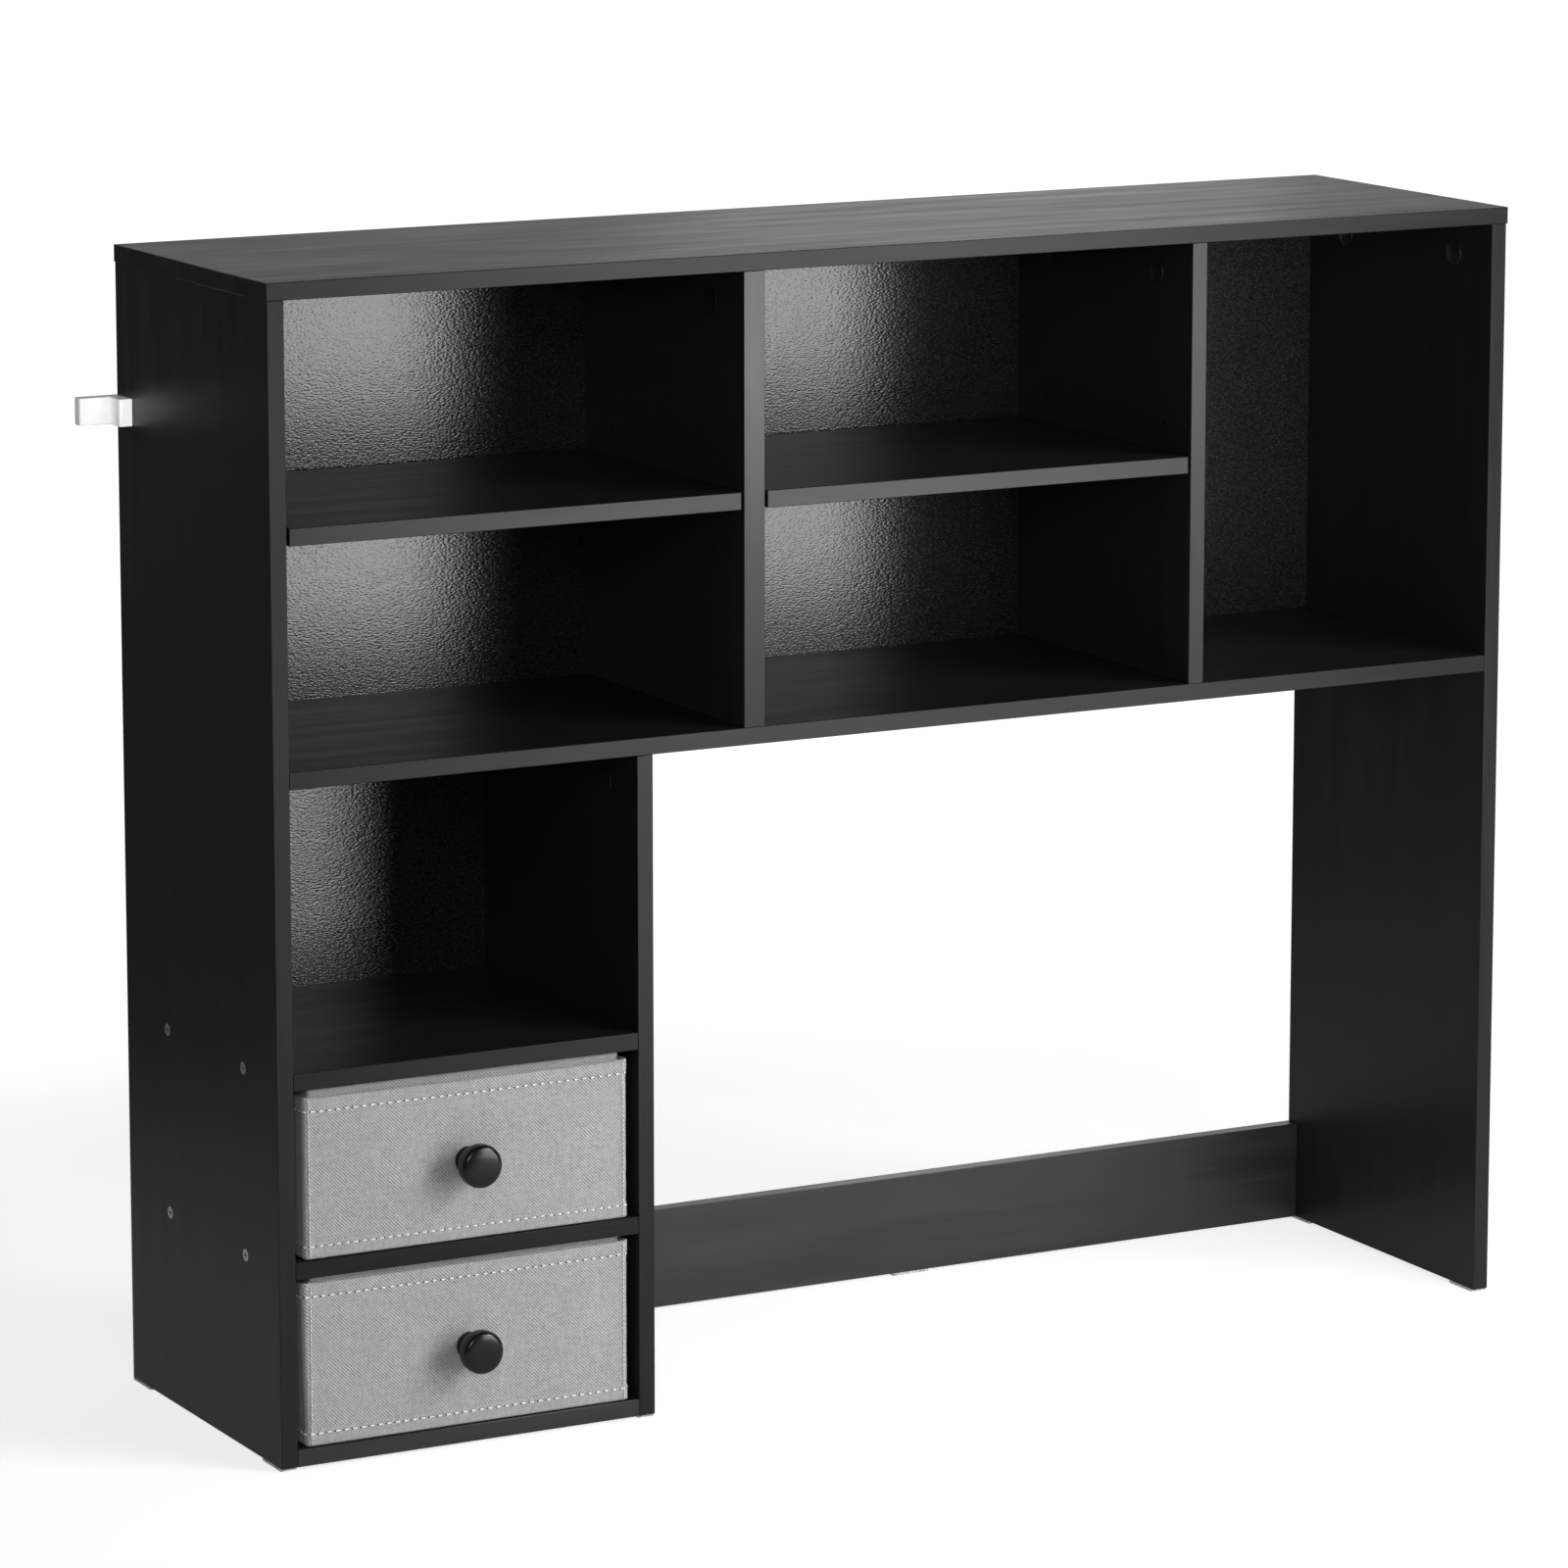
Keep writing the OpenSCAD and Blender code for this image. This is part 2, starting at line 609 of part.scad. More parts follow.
module lining() difference() {
    translate([lining_in, lining_in, shell_t])
        linear_extrude(drawer_h + lining_rise - shell_t)
            rounded(drawer_w - 2 * lining_in, drawer_d - 2 * lining_in,
                lining_corner_r + lining_t);
    translate([wall_total, wall_total, shell_t + lining_t]) linear_extrude(drawer_h + 10)
        rounded(drawer_w - 2 * wall_total, drawer_d - 2 * wall_total, lining_corner_r);
    knob_way(0, wall_total + eps, knob_screw_r + pin_fit);
}

module base_board() {
    g = wall_total + floor_fit;
    translate([g, g, shell_t + lining_t]) linear_extrude(floor_board_t)
        rounded(drawer_w - 2 * g, drawer_d - 2 * g, lining_corner_r);
}

module knob() translate([drawer_w / 2, 0, drawer_h / 2]) rotate([90, 0, 0]) difference() {
    r = knob_r;
    p = knob_projection;
    rotate_extrude() polygon([
        [0, 0], [knob_base_r, 0], [knob_base_r, 2.5], [knob_base_r - 0.8, 3.6],
        [knob_neck_r + 0.7, 5.5], [knob_neck_r, 7.5], [knob_neck_r + 0.3, p - 16.5],
        [knob_neck_r + 1.5, p - 14.5], [r - 4.8, p - 12.3], [r - 1.8, p - 10.4],
        [r - 0.5, p - 8.8], [r, p - 6.8], [r, p - 5.2], [r - 0.45, p - 3.7],
        [r - 1.6, p - 2], [r - 3.4, p - 1], [r - 6.5, p - 0.4], [0, p]]);
    translate([0, 0, -eps]) cylinder(h = knob_screw_depth + eps, r = knob_screw_r + pin_fit);
}

module washer() translate([drawer_w / 2, wall_total, drawer_h / 2]) rotate([-90, 0, 0])
    difference() {
        cylinder(h = 1, r = washer_r);
        translate([0, 0, -eps]) cylinder(h = 1 + 2 * eps, r = knob_screw_r + 0.15);
    }

module knob_screw() translate([drawer_w / 2, wall_total + 1, drawer_h / 2])
    rotate([-90, 0, 0]) difference() {
        union() {
            translate([0, 0, 0.5 - knob_screw_depth - wall_total - 1])
                cylinder(h = knob_screw_depth + wall_total + 1, r = knob_screw_r);
            cylinder(h = 2.5, r = knob_screw_r * 2);
        }
        translate([0, 0, 2.5]) mirror([0, 0, 1]) cross_recess(4, 1.5);
    }

module upper_drawer_shell() color(FABRIC) in_slot(shelf_b_z + t) shell();

module upper_drawer_wall_boards() color(FIBRE) in_slot(shelf_b_z + t) wall_boards();

module upper_drawer_lining() color(GREY) in_slot(shelf_b_z + t) lining();

module upper_drawer_base_board() color(FIBRE) in_slot(shelf_b_z + t) base_board();

module upper_drawer_knob() color(BLACK) in_slot(shelf_b_z + t) knob();

module upper_drawer_knob_screw() color(STEEL) in_slot(shelf_b_z + t) knob_screw();

module upper_drawer_knob_washer() color(STEEL) in_slot(shelf_b_z + t) washer();

module lower_drawer_shell() color(FABRIC) in_slot(floor_z) shell();

module lower_drawer_wall_boards() color(FIBRE) in_slot(floor_z) wall_boards();

module lower_drawer_lining() color(GREY) in_slot(floor_z) lining();

module lower_drawer_base_board() color(FIBRE) in_slot(floor_z) base_board();

module lower_drawer_knob() color(BLACK) in_slot(floor_z) knob();

module lower_drawer_knob_screw() color(STEEL) in_slot(floor_z) knob_screw();

module lower_drawer_knob_washer() color(STEEL) in_slot(floor_z) washer();

// ---- one line for each sub-component ----

top_panel();
left_side_panel();
right_side_panel();
mid_shelf();
left_bay_divider();
right_bay_divider();
lower_divider();
drawer_top_shelf();
drawer_middle_shelf();
bottom_board();
back_stretcher();
upper_back_panel();
lower_back_panel();
cam_locks();
cam_bolts();
cam_cover_caps();
dowels();
shelf_screws();
divider_screws();
back_panel_screws();
left_shelf_pins();
middle_shelf_pins();
foot_pads();
left_wall_bracket();
left_bracket_cover();
right_wall_bracket();
right_bracket_cover();
bracket_screws();
left_adjustable_shelf();
middle_adjustable_shelf();
upper_drawer_shell();
upper_drawer_wall_boards();
upper_drawer_lining();
upper_drawer_base_board();
upper_drawer_knob();
upper_drawer_knob_screw();
upper_drawer_knob_washer();
lower_drawer_shell();
lower_drawer_wall_boards();
lower_drawer_lining();
lower_drawer_base_board();
lower_drawer_knob();
lower_drawer_knob_screw();
lower_drawer_knob_washer();
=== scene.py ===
"""Looks of the desk hutch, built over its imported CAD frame."""

import math

import bmesh
import bpy
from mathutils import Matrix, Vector, noise


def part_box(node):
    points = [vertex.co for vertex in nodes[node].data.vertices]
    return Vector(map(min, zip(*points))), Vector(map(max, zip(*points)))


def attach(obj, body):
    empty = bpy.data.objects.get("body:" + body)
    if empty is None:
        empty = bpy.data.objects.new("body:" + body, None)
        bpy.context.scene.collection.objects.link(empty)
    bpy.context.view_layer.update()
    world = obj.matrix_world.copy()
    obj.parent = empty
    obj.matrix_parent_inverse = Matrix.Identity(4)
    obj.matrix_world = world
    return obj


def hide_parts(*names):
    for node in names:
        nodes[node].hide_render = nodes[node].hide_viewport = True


MM = 0.001
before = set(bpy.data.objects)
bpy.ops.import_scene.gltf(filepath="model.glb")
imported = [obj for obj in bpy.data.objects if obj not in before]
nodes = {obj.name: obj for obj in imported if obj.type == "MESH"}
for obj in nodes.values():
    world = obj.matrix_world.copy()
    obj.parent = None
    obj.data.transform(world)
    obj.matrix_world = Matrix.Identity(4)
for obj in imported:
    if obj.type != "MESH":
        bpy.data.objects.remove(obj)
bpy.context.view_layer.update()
scene = bpy.context.scene

# ---- camera ----

camera_data = bpy.data.cameras.new("camera")
camera_data.lens = 155.37
camera_data.sensor_width = 36
camera_data.shift_y = -0.1
camera_data.clip_end = 60
camera = bpy.data.objects.new("camera", camera_data)
scene.collection.objects.link(camera)
yaw, pitch = 0.4935, 0.1699
camera.location = (-2.25508, -4.11614, 1.32208)
camera.rotation_euler = (math.pi / 2 - pitch, 0, -yaw)
scene.camera = camera
scene.view_settings.view_transform = "Standard"
scene.view_settings.look = "None"


# ---- node helpers ----


class Maker:
    """A material under construction: nodes are added by type, and links are made by value."""

    def __init__(self, name):
        self.material = bpy.data.materials.new(name)
        self.material.use_nodes = True
        self.tree = self.material.node_tree
        self.shader = self.tree.nodes["Principled BSDF"]

    def add(self, kind, inputs=(), **settings):
        node = self.tree.nodes.new(kind)
        for key, value in settings.items():
            setattr(node, key, value)
        for key, value in dict(inputs).items():
            self.put(node.inputs[key], value)
        return node

    def put(self, socket, value):
        if isinstance(value, bpy.types.NodeSocket):
            self.tree.links.new(value, socket)
        else:
            socket.default_value = value

    def coords(self, output="Object"):
        return self.add("ShaderNodeTexCoord").outputs[output]

    def stretched(self, vector, scale):
        return self.add(
            "ShaderNodeMapping", {"Vector": vector, "Scale": scale}
        ).outputs["Vector"]

    def noise(self, vector, scale, detail=2.0, rough=0.5):
        return self.add(
            "ShaderNodeTexNoise",
            {"Vector": vector, "Scale": scale, "Detail": detail, "Roughness": rough},
        ).outputs["Fac"]

    def shifted(self, vector, place, scale, detail, reach):
        """The vector, moved by noise taken at a place, by up to reach along each axis."""
        drift = self.add(
            "ShaderNodeTexNoise", {"Vector": place, "Scale": scale, "Detail": detail}
        ).outputs["Color"]
        return self.add(
            "ShaderNodeVectorMath", {0: drift, 1: reach, 2: vector}, operation="MULTIPLY_ADD"
        ).outputs[0]

    def cells(self, vector, scale, smooth):
        return self.add(
            "ShaderNodeTexVoronoi",
            {"Vector": vector, "Scale": scale, "Smoothness": smooth},
            feature="SMOOTH_F1",
        ).outputs["Distance"]

    def math(self, operation, a, b=0.0):
        return self.add("ShaderNodeMath", {0: a, 1: b}, operation=operation).outputs[0]

    def ranged(self, value, low, high, to_low, to_high):
        return self.add(
            "ShaderNodeMapRange",
            {0: value, 1: low, 2: high, 3: to_low, 4: to_high},
        ).outputs[0]

    def blend(self, factor, dark, light):
        return self.add(
            "ShaderNodeMix", {0: factor, 6: (*dark, 1), 7: (*light, 1)}, data_type="RGBA"
        ).outputs[2]

    def bump(self, height, strength, distance):
        return self.add(
            "ShaderNodeBump", {"Height": height, "Strength": strength, "Distance": distance}
        ).outputs["Normal"]

    def wave(self, vector, direction, pitch):
        """Sine, from -1 to 1, along a direction of the given vector."""
        turns = [d * 2 * math.pi / pitch for d in direction]
        dot = self.add(
            "ShaderNodeVectorMath", {0: vector, 1: turns}, operation="DOT_PRODUCT"
        ).outputs["Value"]
        return self.math("SINE", dot)

    def finish(self, **inputs):
        for key, value in inputs.items():
            self.put(self.shader.inputs[key.replace("_", " ")], value)
        return self.material


# ---- materials ----


def melamine(name, along, gloss, duller=0.0):
    """Black melamine foil with a faint wood grain that runs along one axis."""
    m = Maker(name)
    here = m.coords()
    across, length = 1500.0, 22.0
    grain = m.noise(
        m.stretched(here, [length if i == along else across for i in range(3)]), 1, 3
    )
    cloud = m.noise(
        m.stretched(here, [6.0 if i == along else 60.0 for i in range(3)]), 1, 3
    )
    speck = m.noise(here, 1900.0, 1.5)
    mixed = m.math("ADD", m.math("MULTIPLY", grain, 0.55), m.math("MULTIPLY", cloud, 0.45))
    colour = m.blend(
        m.ranged(mixed, 0.35, 0.65, 0, 1), (0.0105, 0.0103, 0.0105), (0.016, 0.0157, 0.0157)
    )
    relief = m.math("ADD", m.math("MULTIPLY", grain, 0.6), m.math("MULTIPLY", speck, 0.7))
    rough = m.ranged(m.math("ADD", grain, cloud), 0.7, 1.3, 0.32, 0.42)
    if duller:
        height = m.add("ShaderNodeSeparateXYZ", {0: here}).outputs["Z"]
        rough = m.math("ADD", rough, m.ranged(height, 0.45, 0.72, duller, 0))
    return m.finish(
        Base_Color=colour, Roughness=rough, Normal=m.bump(relief, 0.3, 0.00004),
        Specular_IOR_Level=gloss,
    )


def embossed_back():
    """Black back panel with a leather-like emboss of 1 to 2 mm and a half gloss."""
    m = Maker("embossed_back_panel")
    here = m.stretched(m.coords(), (1.0, 1.0, 2.3))
    moved = m.shifted(here, here, 420.0, 1.0, (0.0011, 0.0011, 0.0011))
    pebbles = m.cells(moved, 380.0, 0.35)
    fine = m.noise(here, 520.0, 2.0, 0.6)
    height = m.math(
        "SUBTRACT", m.math("MULTIPLY", fine, 0.55), m.math("MULTIPLY", pebbles, 0.9)
    )
    colour = m.blend(
        m.ranged(height, -0.35, 0.25, 0, 1), (0.005, 0.005, 0.0052), (0.026, 0.0256, 0.0256)
    )
    rough = m.ranged(fine, 0.3, 0.7, 0.13, 0.18)
    return m.finish(
        Base_Color=colour, Roughness=rough, Normal=m.bump(height, 0.9, 0.00016),
        Specular_IOR_Level=0.62,
    )


YARN_SHARE = 0.7071  # yarn spacing, as a share of the twill's own


def twill(name, dark, light, pitch=1.7 * MM):
    """Grey woven twill on the piece's own UV map, which is in metres."""
    m = Maker(name)
    uv, here = m.coords("UV"), m.coords()
    flat = m.shifted(uv, here, 160.0, 2.0, (0.0009, 0.0009, 0.0))
    half = 1 / math.sqrt(2)
    rib = m.wave(flat, (half, -half, 0), pitch)
    yarn = m.math(
        "MULTIPLY",
        m.wave(flat, (1, 0, 0), pitch * YARN_SHARE),
        m.wave(flat, (0, 1, 0), pitch * YARN_SHARE),
    )
    weave = m.math("ADD", m.math("MULTIPLY", rib, 0.5), m.math("MULTIPLY", yarn, 0.35))
    fuzz = m.noise(here, 1500.0, 3.0, 0.75)
    slub = m.noise(m.stretched(here, (700.0, 700.0, 90.0)), 1, 1)
    thread = m.noise(m.stretched(here, (80.0, 80.0, 900.0)), 1, 1)
    cloud = m.noise(here, 24.0, 4.0, 0.6)
    height = m.math("ADD", weave, m.math("MULTIPLY", fuzz, 1.6))
    nub = m.noise(here, 480.0, 1.0)
    tone = m.math("MULTIPLY", slub, 0.22)
    for part, share in ((thread, 0.22), (cloud, 0.16), (nub, 0.35), (fuzz, 0.8), (weave, 0.55)):
        tone = m.math("ADD", tone, m.math("MULTIPLY", part, share))
    colour = m.blend(m.ranged(tone, 0.4, 1.35, 0, 1), dark, light)
    return m.finish(
        Base_Color=colour, Roughness=0.9, Specular_IOR_Level=0.25, Sheen_Weight=0.12,
        Sheen_Roughness=0.5, Normal=m.bump(height, 0.75, 0.00022),
    )


def plain(name, dark, light, rough, scale, strength=0.1, distance=0.0001, **more):
    """A moulded, turned or cut finish: a faint cloud of colour, gloss and relief."""
    m = Maker(name)
    here = m.coords()
    cloud = m.noise(here, scale, 3.0)
    fine = m.noise(here, scale * 9, 2.0)
    colour = m.blend(m.ranged(cloud, 0.3, 0.7, 0, 1), dark, light)
    low, high = rough
    return m.finish(
        Base_Color=colour, Roughness=m.ranged(fine, 0.3, 0.7, low, high),
        Normal=m.bump(fine, strength, distance), **more,
    )


def chipboard():
    """Raw particle board, as in drilled holes and saw cuts."""
    m = Maker("raw_particle_board")
    here = m.coords()
    chips = m.add("ShaderNodeTexVoronoi", {"Vector": here, "Scale": 700.0})
    colour = m.blend(
        m.ranged(m.noise(here, 500.0, 3.0), 0.3, 0.7, 0, 1), (0.5, 0.4, 0.28), (0.78, 0.67, 0.52)
    )
    return m.finish(
        Base_Color=colour, Roughness=0.85, Normal=m.bump(chips.outputs["Distance"], 0.6, 0.0003)
    )


def felt():
    m = Maker("pad_felt")
    here = m.coords()
    fibres = m.noise(m.stretched(here, (1400.0, 600.0, 900.0)), 1, 4, 0.7)
    spots = m.noise(here, 900.0, 2.0)
    colour = m.blend(m.ranged(spots, 0.4, 0.62, 0, 1), (0.3, 0.3, 0.3), (0.72, 0.72, 0.71))
    return m.finish(
        Base_Color=colour, Roughness=0.95, Sheen_Weight=0.3,
        Normal=m.bump(fibres, 0.9, 0.0005),
    )


def brushed(name, colour, rough=0.32):
    m = Maker(name)
    here = m.coords()
    hair = m.noise(m.stretched(here, (300.0, 2600.0, 2600.0)), 1, 2)
    tint = m.blend(hair, tuple(c * 0.8 for c in colour), colour)
    return m.finish(
        Base_Color=tint, Metallic=1.0, Roughness=m.ranged(hair, 0.3, 0.7, rough, rough + 0.14),
        Normal=m.bump(hair, 0.15, 0.00005),
    )


BACK = embossed_back()
RAW = chipboard()
CLOTH, LINING = (
    twill(name, (0.155, 0.157, 0.157), (0.545, 0.55, 0.55))
    for name in ("drawer_twill", "lining_twill")
)
THREAD = plain("white_thread", (0.84, 0.84, 0.84), (0.95, 0.95, 0.95), (0.6, 0.8), 3000.0, 0.4)
# painted shade: a near-black material for the dimples between stitches and for the groove under the
# lining's rim
SEAM_SHADE = plain("painted_seam_shade", (0.03, 0.03, 0.03), (0.06, 0.06, 0.06), (0.8, 0.9), 2000.0)
KNOB = plain(
    "black_gloss_knob", (0.004, 0.004, 0.0042), (0.007, 0.007, 0.0072), (0.2, 0.26), 60.0, 0.05,
    Specular_IOR_Level=0.3, Coat_Weight=0.12, Coat_Roughness=0.1,
)
WHITE = plain(
    "white_bracket_plastic", (0.8, 0.8, 0.8), (0.86, 0.86, 0.86), (0.35, 0.45), 90.0, 0.08
)
CAP = plain("black_cap_plastic", (0.006, 0.006, 0.006), (0.01, 0.01, 0.01), (0.35, 0.5), 200.0)
FIBRE = plain(
    "brown_fibre_board", (0.2, 0.14, 0.085), (0.32, 0.24, 0.155), (0.8, 0.9), 300.0, 0.4, 0.0003
)
BEECH = plain("beech_dowel", (0.45, 0.3, 0.17), (0.6, 0.43, 0.26), (0.6, 0.75), 150.0, 0.3)
FELT = felt()
ZINC_STEEL = brushed("zinc_plated_steel", (0.62, 0.62, 0.63))
CAM_ZINC = brushed("cam_die_cast_zinc", (0.5, 0.51, 0.53), 0.4)


# ---- pieces from CAD nodes ----


def dress(obj, *materials):
    obj.data.materials.clear()
    for m in materials:
        obj.data.materials.append(m)


def new_piece(name, mesh):
    obj = bpy.data.objects.new(name, mesh)
    scene.collection.objects.link(obj)
    return obj


def hand_over(obj, body, slot, *replaced):
    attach(obj, body)
    if replaced:
        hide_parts(*replaced)


def merged_copy(node):
    bm = bmesh.new()
    bm.from_mesh(nodes[node].data)
    bmesh.ops.remove_doubles(bm, verts=bm.verts, dist=2e-6)
    bmesh.ops.dissolve_limit(
        bm, angle_limit=math.radians(1), verts=bm.verts, edges=bm.edges, delimit={"NORMAL"}
    )
    return bm


def on_box(face, low, high, slack=2e-5):
    c, n = face.calc_center_median(), face.normal
    for i in range(3):
        if abs(n[i]) > 0.999 and min(abs(c[i] - low[i]), abs(c[i] - high[i])) < slack:
            return True
    return False


ARRIS, ARRIS_STEPS = 0.45 * MM, 2
LONG_EDGE = 8 * MM  # shorter edges, such as those of notches, stay sharp


def eased(node):
    """A copy of a CAD node whose long outer arrises are rounded; cut faces are marked raw."""
    bm = merged_copy(node)
    low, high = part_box(node)
    bm.normal_update()
    for f in bm.faces:
        f.material_index = 0 if on_box(f, low, high) else 1
    rims = [
        e for e in bm.edges
        if len(e.link_faces) == 2 and e.calc_length() > LONG_EDGE and e.is_convex
        and all(on_box(f, low, high) for f in e.link_faces)
        and abs(e.link_faces[0].normal.dot(e.link_faces[1].normal)) < 0.2
    ]
    bmesh.ops.bevel(
        bm, geom=rims, offset=ARRIS, segments=ARRIS_STEPS, profile=0.5, affect="EDGES",
        clamp_overlap=False, material=0,
    )
    bmesh.ops.triangulate(bm, faces=[f for f in bm.faces if len(f.verts) > 4])
    bm.normal_update()
    curved = bm.faces.layers.int.new("curved")
    for f in bm.faces:
        f[curved] = int(max(abs(x) for x in f.normal) < 0.9999)
        f.smooth = True
    for e in bm.edges:
        both = len(e.link_faces) == 2 and all(f[curved] for f in e.link_faces)
        e.smooth = both and e.calc_face_angle(0) < math.radians(50)
    mesh = bpy.data.meshes.new(node + "_finished")
    bm.to_mesh(mesh)
    bm.free()
    return mesh


def board(node, body, material):
    piece = new_piece(node + "_board", eased(node))
    dress(piece, material, RAW)
    hand_over(piece, body, "black_board", node)


# each board's own body, the axis of its grain, the gloss of its foil, and how much duller it
# is low down
BOARDS = {
    "top_panel": ("cabinet", 0, 0.2, 0),
    "mid_shelf": ("cabinet", 0, 0.17, 0),
    "drawer_top_shelf": ("cabinet", 0, 0.15, 0),
    "drawer_middle_shelf": ("cabinet", 0, 0.12, 0),
    "bottom_board": ("cabinet", 0, 0.5, 0),
    "back_stretcher": ("cabinet", 0, 0.6, 0),
    "left_side_panel": ("cabinet", 2, 0.2, 0),
    "right_side_panel": ("cabinet", 2, 0.17, 0),
    "left_bay_divider": ("cabinet", 2, 0.5, 0.4),
    "right_bay_divider": ("cabinet", 2, 0.4, 0.35),
    "lower_divider": ("cabinet", 2, 0.17, 0),
    "left_adjustable_shelf": ("left_shelf", 0, 0.28, 0),
    "middle_adjustable_shelf": ("middle_shelf", 0, 0.3, 0),
}
for name, (body, along, gloss, duller) in BOARDS.items():
    board(name, body, melamine(name + "_foil", along, gloss, duller))
for name in ("upper_back_panel", "lower_back_panel"):
    dress(nodes[name], BACK)

for name in ("cam_bolts", "shelf_screws", "divider_screws", "back_panel_screws",
             "left_shelf_pins", "middle_shelf_pins", "left_wall_bracket", "right_wall_bracket",
             "bracket_screws"):
    dress(nodes[name], ZINC_STEEL)
dress(nodes["cam_locks"], CAM_ZINC)
dress(nodes["dowels"], BEECH)
for which in ("upper", "lower"):
    dress(nodes[f"{which}_drawer_wall_boards"], FIBRE)
    dress(nodes[f"{which}_drawer_base_board"], FIBRE)
    dress(nodes[f"{which}_drawer_knob_screw"], ZINC_STEEL)
    dress(nodes[f"{which}_drawer_knob_washer"], ZINC_STEEL)


def rounded_piece(node, name, radius, steps, material, slot):
    """A moulded copy of a CAD node: every sharp outer edge is rounded and shaded smooth."""
    bm = merged_copy(node)
    bm.normal_update()
    sharp = [
        e for e in bm.edges
        if len(e.link_faces) == 2 and e.is_convex and e.calc_face_angle(0) > math.radians(50)
    ]
    bmesh.ops.bevel(
        bm, geom=sharp, offset=radius, segments=steps, profile=0.5, affect="EDGES",
        clamp_overlap=True,
    )
    bmesh.ops.triangulate(bm, faces=[f for f in bm.faces if len(f.verts) > 4])
    mesh = bpy.data.meshes.new(name)
    bm.to_mesh(mesh)
    bm.free()
    mesh.shade_smooth()
    mesh.set_sharp_from_angle(angle=math.radians(60))
    piece = new_piece(name, mesh)
    dress(piece, material)
    hand_over(piece, "cabinet", slot, node)


rounded_piece("left_bracket_cover", "left_cover_moulding", 0.7 * MM, 4, WHITE, "white_plastic")
rounded_piece("right_bracket_cover", "right_cover_moulding", 0.7 * MM, 4, WHITE, "white_plastic")
rounded_piece("cam_cover_caps", "cam_cap_discs", 0.25 * MM, 2, CAP, "black_plastic")
rounded_piece("foot_pads", "felt_pads", 0.5 * MM, 3, FELT, "pad_felt")


# ---- stitching ----


def stitch_tree():
    """Repeats a capsule of thread along a path, a pitch apart."""
    tree = bpy.data.node_groups.new("running_stitch", "GeometryNodeTree")
    sockets = tree.interface
    sockets.new_socket("Geometry", in_out="INPUT", socket_type="NodeSocketGeometry")
    for name in ("Pitch", "Stitch length", "Thread radius"):
        sockets.new_socket(name, in_out="INPUT", socket_type="NodeSocketFloat")
    sockets.new_socket("Material", in_out="INPUT", socket_type="NodeSocketMaterial")
    sockets.new_socket("Geometry", in_out="OUTPUT", socket_type="NodeSocketGeometry")
    add, link = tree.nodes.new, tree.links.new
    inputs, output = add("NodeGroupInput"), add("NodeGroupOutput")
    curve = add("GeometryNodeMeshToCurve")
    points = add("GeometryNodeCurveToPoints")
    points.mode = "LENGTH"
    capsule = add("GeometryNodeMeshUVSphere")
    capsule.inputs["Segments"].default_value = 8
    capsule.inputs["Rings"].default_value = 5
    capsule.inputs["Radius"].default_value = 1
    turn = add("FunctionNodeAlignRotationToVector")
    turn.axis = "X"
    half = add("ShaderNodeMath")
    half.operation = "MULTIPLY"
    half.inputs[1].default_value = 0.5
    size = add("ShaderNodeCombineXYZ")
    place = add("GeometryNodeInstanceOnPoints")
    real = add("GeometryNodeRealizeInstances")
    paint = add("GeometryNodeSetMaterial")
    link(inputs.outputs["Geometry"], curve.inputs[0])
    link(curve.outputs[0], points.inputs["Curve"])
    link(inputs.outputs["Pitch"], points.inputs["Length"])
    link(points.outputs["Tangent"], turn.inputs["Vector"])
    link(inputs.outputs["Stitch length"], half.inputs[0])
    link(half.outputs[0], size.inputs[0])
    link(inputs.outputs["Thread radius"], size.inputs[1])
    link(inputs.outputs["Thread radius"], size.inputs[2])
    link(points.outputs["Points"], place.inputs["Points"])
    link(capsule.outputs["Mesh"], place.inputs["Instance"])
    link(turn.outputs[0], place.inputs["Rotation"])
    link(size.outputs[0], place.inputs["Scale"])
    link(place.outputs[0], real.inputs[0])
    link(real.outputs[0], paint.inputs["Geometry"])
    link(inputs.outputs["Material"], paint.inputs["Material"])
    link(paint.outputs[0], output.inputs[0])
    return tree


STITCH = stitch_tree()


def sew(name, paths, pitch, length, radius, material):
    """One mesh of stitches along several paths, each a list of points."""
    verts, edges = [], []
    for path in paths:
        first = len(verts)
        verts += [tuple(p) for p in path]
        edges += [(first + i, first + i + 1) for i in range(len(path) - 1)]
    mesh = bpy.data.meshes.new(name + "_path")
    mesh.from_pydata(verts, edges, [])
    guide = new_piece(name + "_path", mesh)
    mod = guide.modifiers.new("stitches", "NODES")
    mod.node_group = STITCH
    ids = {i.name: i.identifier for i in STITCH.interface.items_tree if i.in_out == "INPUT"}
    mod[ids["Pitch"]] = pitch
    mod[ids["Stitch length"]] = length
    mod[ids["Thread radius"]] = radius
    mod[ids["Material"]] = material
    bpy.context.view_layer.update()
    solid = bpy.data.meshes.new_from_object(
        guide.evaluated_get(bpy.context.evaluated_depsgraph_get())
    )
    solid.name = name
    guide.modifiers.clear()
    bpy.data.objects.remove(guide)
    solid.shade_smooth()
    return new_piece(name, solid)


# ---- drawers ----


